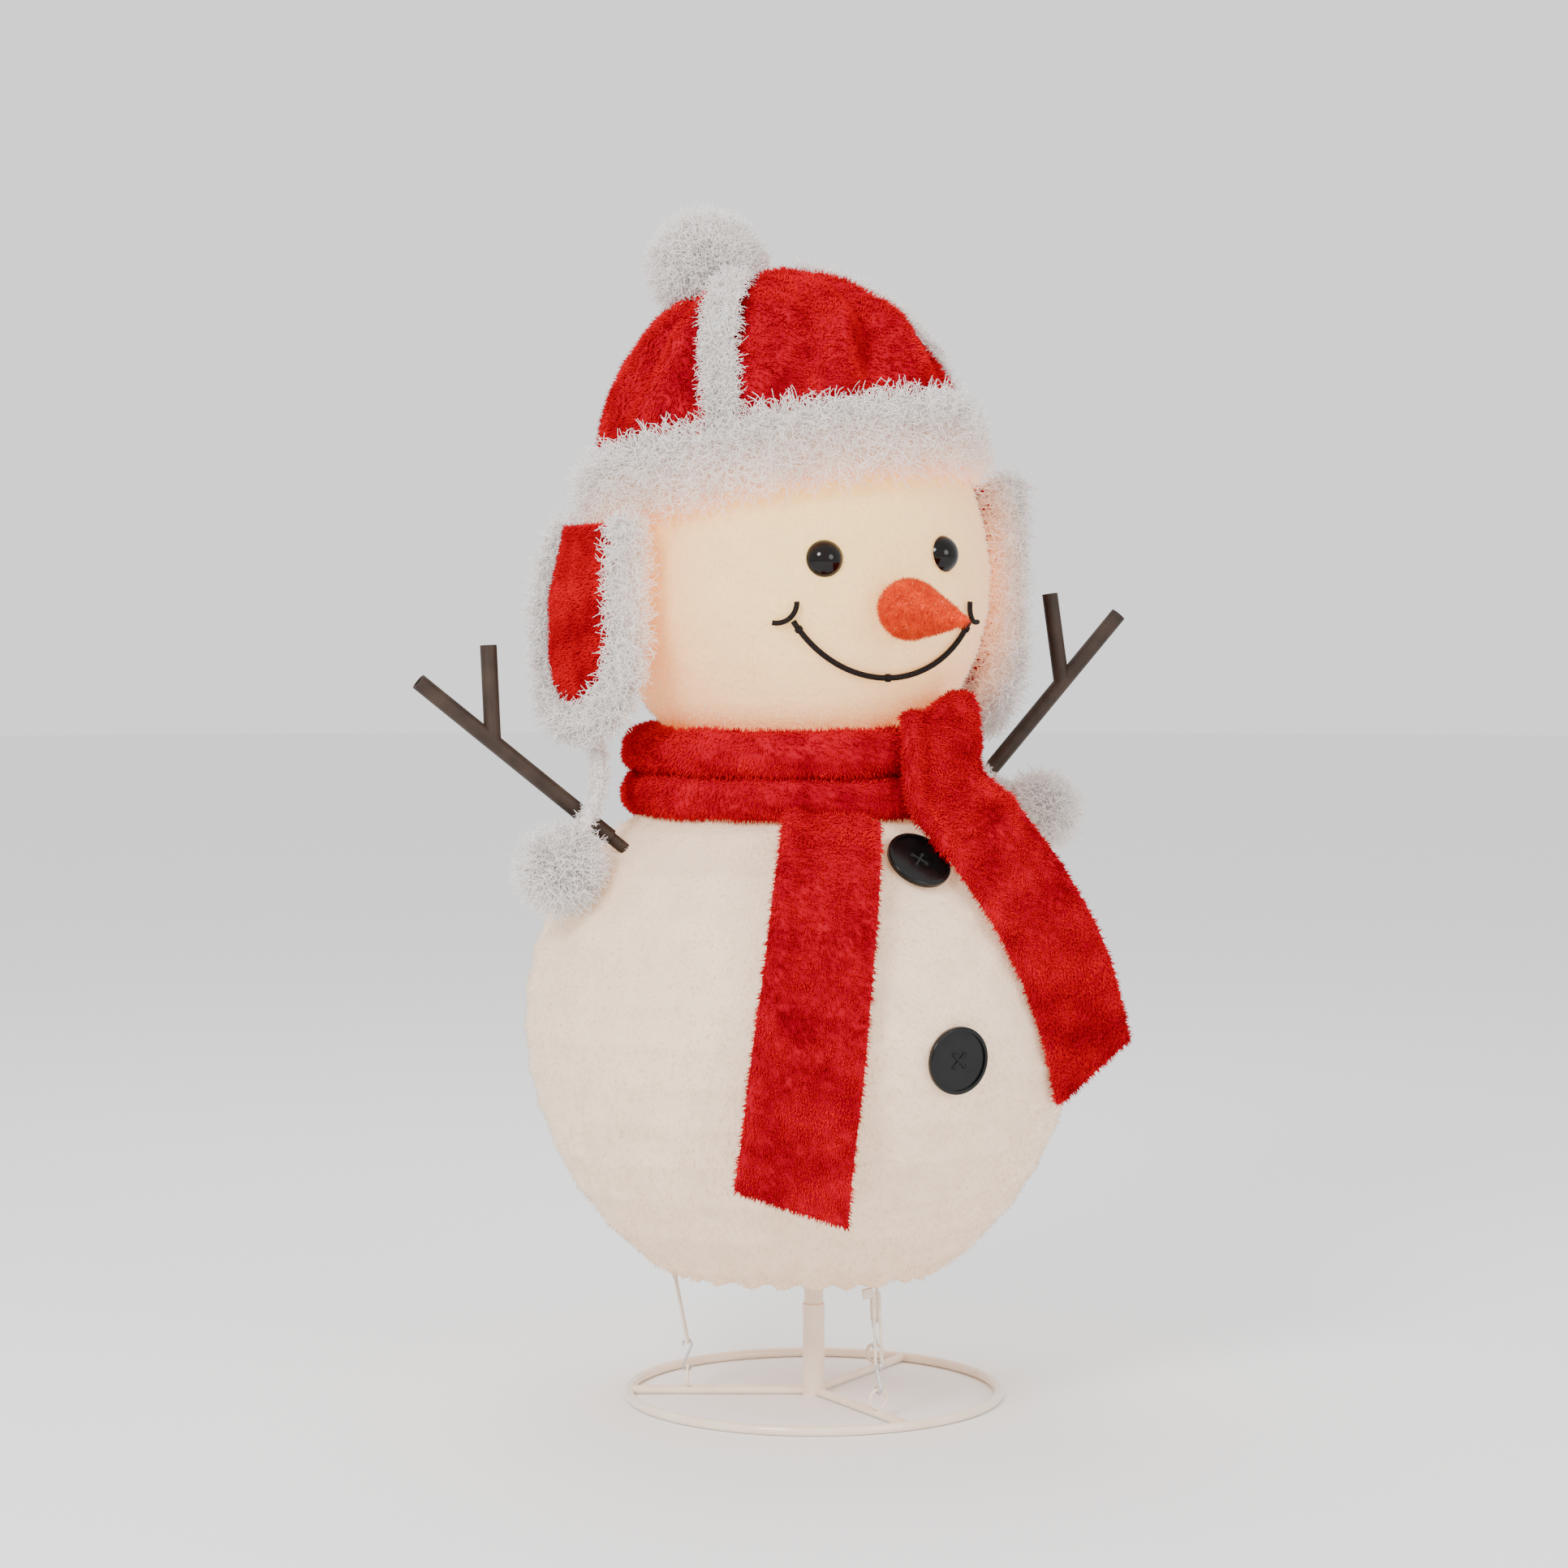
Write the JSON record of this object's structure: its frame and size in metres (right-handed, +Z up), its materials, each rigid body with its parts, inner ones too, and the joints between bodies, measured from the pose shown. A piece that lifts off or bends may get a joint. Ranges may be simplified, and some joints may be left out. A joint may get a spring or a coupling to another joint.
{
  "type": "pop-up yard snowman",
  "caption": "Free-standing lit snowman: plush covers over spiral frames on a telescoping pole and ring base, with hat, scarf, arms, nose and buttons.",
  "frame": {"origin": "centre of the hub's flat underside, on the ground under the pole", "axes": "+Z up along the pole, -Y towards the snowman's front, +X towards its left hand as it looks out (the viewer's right)"},
  "size_m": [0.5917, 0.4541, 0.914],
  "materials": {
    "white_plush": "short-pile white plush, lit from inside",
    "red_plush": "short-pile red plush",
    "white_fur": "long curly off-white pile with a sparkle",
    "white_cord": "fluffy off-white cord",
    "cream_paint": "gloss off-white paint on steel",
    "frame_wire": "white coated spring wire",
    "steel_wire": "zinc plated wire",
    "elastic": "covered elastic cord",
    "white_plastic": "moulded white plastic",
    "black_plastic": "gloss black moulded plastic",
    "black_wire": "black covered wire",
    "button_thread": "black thread",
    "orange_tinsel": "orange glitter tinsel over a foam cone",
    "brown_plastic": "brown plastic tube",
    "lamp_wire": "white lamp wire",
    "lamp_holder": "white moulded lamp holder",
    "lamp_glass": "clear warm white miniature lamp"
  },
  "bodies": {
    "root": {"base_ring": "cream_paint", "hub_boss": "cream_paint", "base_spoke_front": "cream_paint", "base_spoke_right": "cream_paint", "base_spoke_left": "cream_paint", "tie_eyes": "cream_paint", "s_hooks": "steel_wire", "elastic_loop_front": "elastic", "elastic_loop_right": "elastic", "elastic_loop_left": "elastic", "base_sleeve": "cream_paint", "pole_lower": "cream_paint", "hem_ring": "frame_wire", "belly_spiral": "frame_wire", "belly_cover": "white_plush", "light_lead_belly": "lamp_wire", "lamp_holders_belly": "lamp_holder", "lamp_bulbs_belly": "lamp_glass"},
    "lock_collar": {"lock_collar": "white_plastic"},
    "pole_top": {"pole_upper": "cream_paint", "pole_cap": "white_plastic", "top_plate": "white_plastic", "hat_crown": "red_plush", "hat_strips": "white_fur", "hat_pompom": "white_fur"},
    "waist": {"button_lower": "black_plastic", "button_thread_lower": "button_thread"},
    "shoulders": {"arm_peg_left": "brown_plastic", "arm_peg_right": "brown_plastic", "button_upper": "black_plastic", "button_thread_upper": "button_thread"},
    "neck": {"neck_ring": "frame_wire", "head_spiral": "frame_wire", "head_cover": "white_plush", "scarf_band": "red_plush", "scarf_knot": "red_plush", "light_lead_head": "lamp_wire", "lamp_holders_head": "lamp_holder", "lamp_bulbs_head": "lamp_glass"},
    "mouth": {"mouth_wire": "black_wire", "mouth_corners": "black_wire", "mouth_ties": "black_wire"},
    "nose": {"nose": "orange_tinsel"},
    "eyes": {"eye_left": "black_plastic", "eye_right": "black_plastic", "eye_washers": "white_plastic"},
    "hat_brim": {"hat_brim": "white_fur"},
    "arm_left": {"arm_left": "brown_plastic"},
    "arm_right": {"arm_right": "brown_plastic"},
    "flap_left": {"ear_flap_left": "red_plush", "ear_flap_trim_left": "white_fur"},
    "flap_right": {"ear_flap_right": "red_plush", "ear_flap_trim_right": "white_fur"},
    "tassel_left": {"tassel_cord_left": "white_cord", "tassel_pompom_left": "white_fur"},
    "tassel_right": {"tassel_cord_right": "white_cord", "tassel_pompom_right": "white_fur"},
    "tail_front": {"scarf_tail_front": "red_plush"},
    "tail_side": {"scarf_tail_side": "red_plush"}
  },
  "joints": [
    {"name": "pole_telescope", "type": "slide", "parent": "root", "child": "pole_top", "axis": [0, 0, 1], "range_m": [-0.24, 0], "deforming": ["belly_cover", "belly_spiral", "light_lead_belly", "lamp_holders_belly", "lamp_bulbs_belly", "head_cover", "head_spiral", "light_lead_head", "lamp_holders_head", "lamp_bulbs_head", "scarf_knot", "hat_crown", "hat_strips", "ear_flap_left", "ear_flap_trim_left", "tassel_cord_left", "tassel_pompom_left", "ear_flap_right", "ear_flap_trim_right", "tassel_cord_right", "tassel_pompom_right", "scarf_tail_front", "scarf_tail_side"]},
    {"name": "collar_twist", "type": "hinge", "parent": "root", "child": "lock_collar", "pos_m": [0, 0, 0.445], "axis": [0, 0, 1], "range_deg": [0, 90]},
    {"name": "waist_slide", "type": "slide", "parent": "root", "child": "waist", "axis": [0, 0, 1], "range_m": [-0.06466, 0]},
    {"name": "shoulders_slide", "type": "slide", "parent": "root", "child": "shoulders", "axis": [0, 0, 1], "range_m": [-0.11653, 0]},
    {"name": "neck_slide", "type": "slide", "parent": "root", "child": "neck", "axis": [0, 0, 1], "range_m": [-0.1358, 0]},
    {"name": "mouth_slide", "type": "slide", "parent": "root", "child": "mouth", "axis": [0, 0, 1], "range_m": [-0.16837, 0]},
    {"name": "nose_slide", "type": "slide", "parent": "root", "child": "nose", "axis": [0, 0, 1], "range_m": [-0.17958, 0]},
    {"name": "eyes_slide", "type": "slide", "parent": "root", "child": "eyes", "axis": [0, 0, 1], "range_m": [-0.19256, 0]},
    {"name": "hat_brim_slide", "type": "slide", "parent": "root", "child": "hat_brim", "axis": [0, 0, 1], "range_m": [-0.21603, 0]},
    {"name": "arm_left_swivel", "type": "hinge", "parent": "shoulders", "child": "arm_left", "pos_m": [-0.16248, 0.0047, 0.431], "axis": [-0.7572, 0.1748, 0.6293], "range_deg": [-90, 90]},
    {"name": "arm_right_swivel", "type": "hinge", "parent": "shoulders", "child": "arm_right", "pos_m": [0.13473, 0.02225, 0.44], "axis": [0.6177, -0.2007, 0.7604], "range_deg": [-90, 90]},
    {"name": "flap_left_swing", "type": "hinge", "parent": "hat_brim", "child": "flap_left", "pos_m": [-0.18215, 0.02119, 0.665], "axis": [0.0872, 0.9962, 0], "range_deg": [0, 70]},
    {"name": "tassel_left_swing", "type": "hinge", "parent": "flap_left", "child": "tassel_left", "pos_m": [-0.1736, 0.0262, 0.5075], "axis": [0.0872, 0.9962, 0], "range_deg": [-70.2, 0]},
    {"name": "flap_right_swing", "type": "hinge", "parent": "hat_brim", "child": "flap_right", "pos_m": [0.15595, 0.02667, 0.698], "axis": [0.1219, -0.9925, 0], "range_deg": [0, 70]},
    {"name": "tassel_right_swing", "type": "hinge", "parent": "flap_right", "child": "tassel_right", "pos_m": [0.152, 0.0262, 0.5075], "axis": [0.1219, -0.9925, 0], "range_deg": [-70.2, 0]},
    {"name": "tail_front_swing", "type": "hinge", "parent": "neck", "child": "tail_front", "pos_m": [-0.07746, -0.12835, 0.459], "axis": [-0.887, 0.4617, 0], "range_deg": [0, 45]},
    {"name": "tail_side_swing", "type": "hinge", "parent": "neck", "child": "tail_side", "pos_m": [0.04414, -0.16334, 0.458], "axis": [-0.9088, 0.122, -0.3989], "range_deg": [0, 40]}
  ],
  "couplings": [
    {"joint": "waist_slide", "follows": "pole_telescope", "ratio": 0.2686},
    {"joint": "shoulders_slide", "follows": "pole_telescope", "ratio": 0.4847},
    {"joint": "neck_slide", "follows": "pole_telescope", "ratio": 0.565},
    {"joint": "mouth_slide", "follows": "pole_telescope", "ratio": 0.7007},
    {"joint": "nose_slide", "follows": "pole_telescope", "ratio": 0.7474},
    {"joint": "eyes_slide", "follows": "pole_telescope", "ratio": 0.8015},
    {"joint": "hat_brim_slide", "follows": "pole_telescope", "ratio": 0.8993},
    {"joint": "tassel_left_swing", "follows": "flap_left_swing", "ratio": -1},
    {"joint": "tassel_right_swing", "follows": "flap_right_swing", "ratio": -1}
  ]
}
